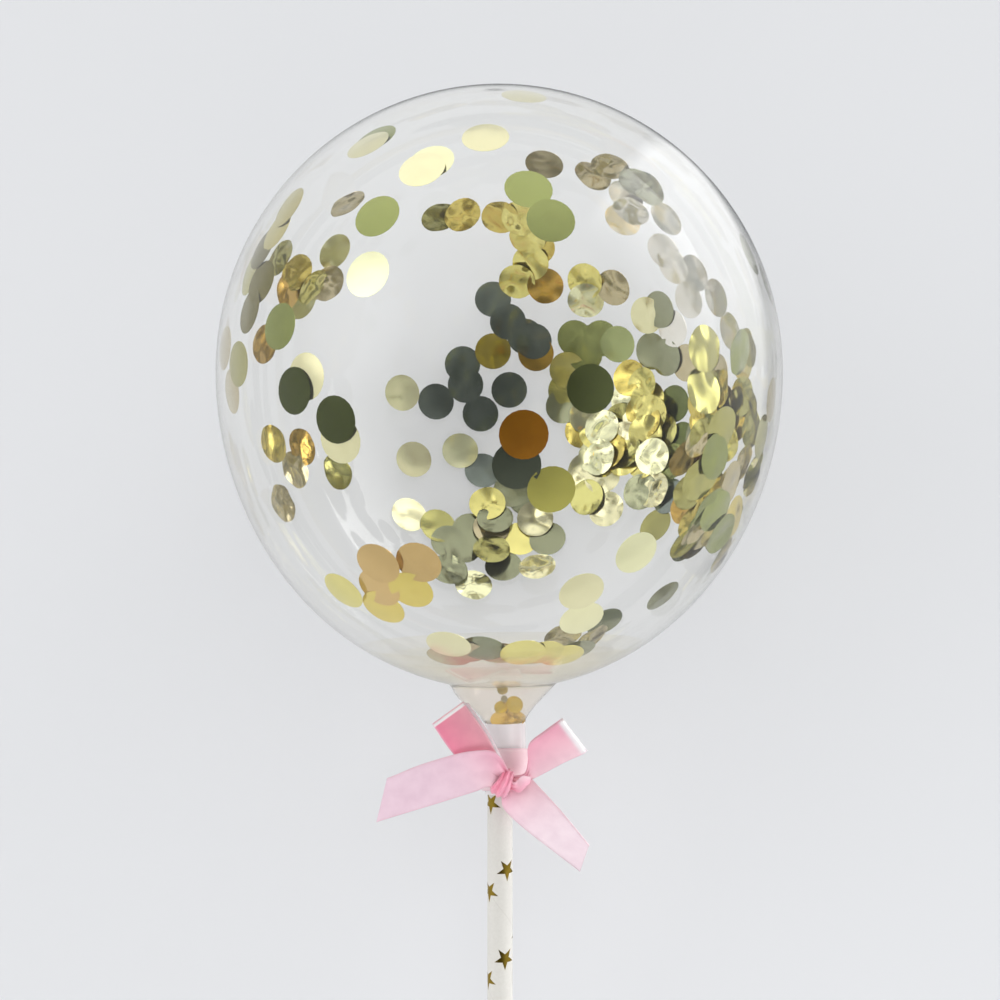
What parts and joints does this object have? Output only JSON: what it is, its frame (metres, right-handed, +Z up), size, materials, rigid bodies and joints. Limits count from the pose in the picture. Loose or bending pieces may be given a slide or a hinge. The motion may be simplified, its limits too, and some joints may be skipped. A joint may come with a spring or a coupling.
{
  "type": "confetti balloon on a stick",
  "caption": "Small clear balloon with gold confetti inside, its neck over a paper stick and tied with a ribbon bow, lying down.",
  "frame": {"origin": "middle of the flat spot under the belly, where the lying balloon rests", "axes": "+Y level along the stick, from its free end to the balloon's crown, +Z up, +X to the right seen from above"},
  "size_m": [0.133, 0.3426, 0.1331],
  "materials": {
    "clear_latex": "thin clear inflated latex, gloss, milky at the neck",
    "printed_paper": "wound white paper with gold foil stars",
    "satin_ribbon": "pale pink satin",
    "gold_foil": "thin metallic gold foil discs"
  },
  "bodies": {
    "root": {"balloon": "clear_latex", "paper_stick": "printed_paper", "ribbon_bow": "satin_ribbon"}
  },
  "joints": []
}
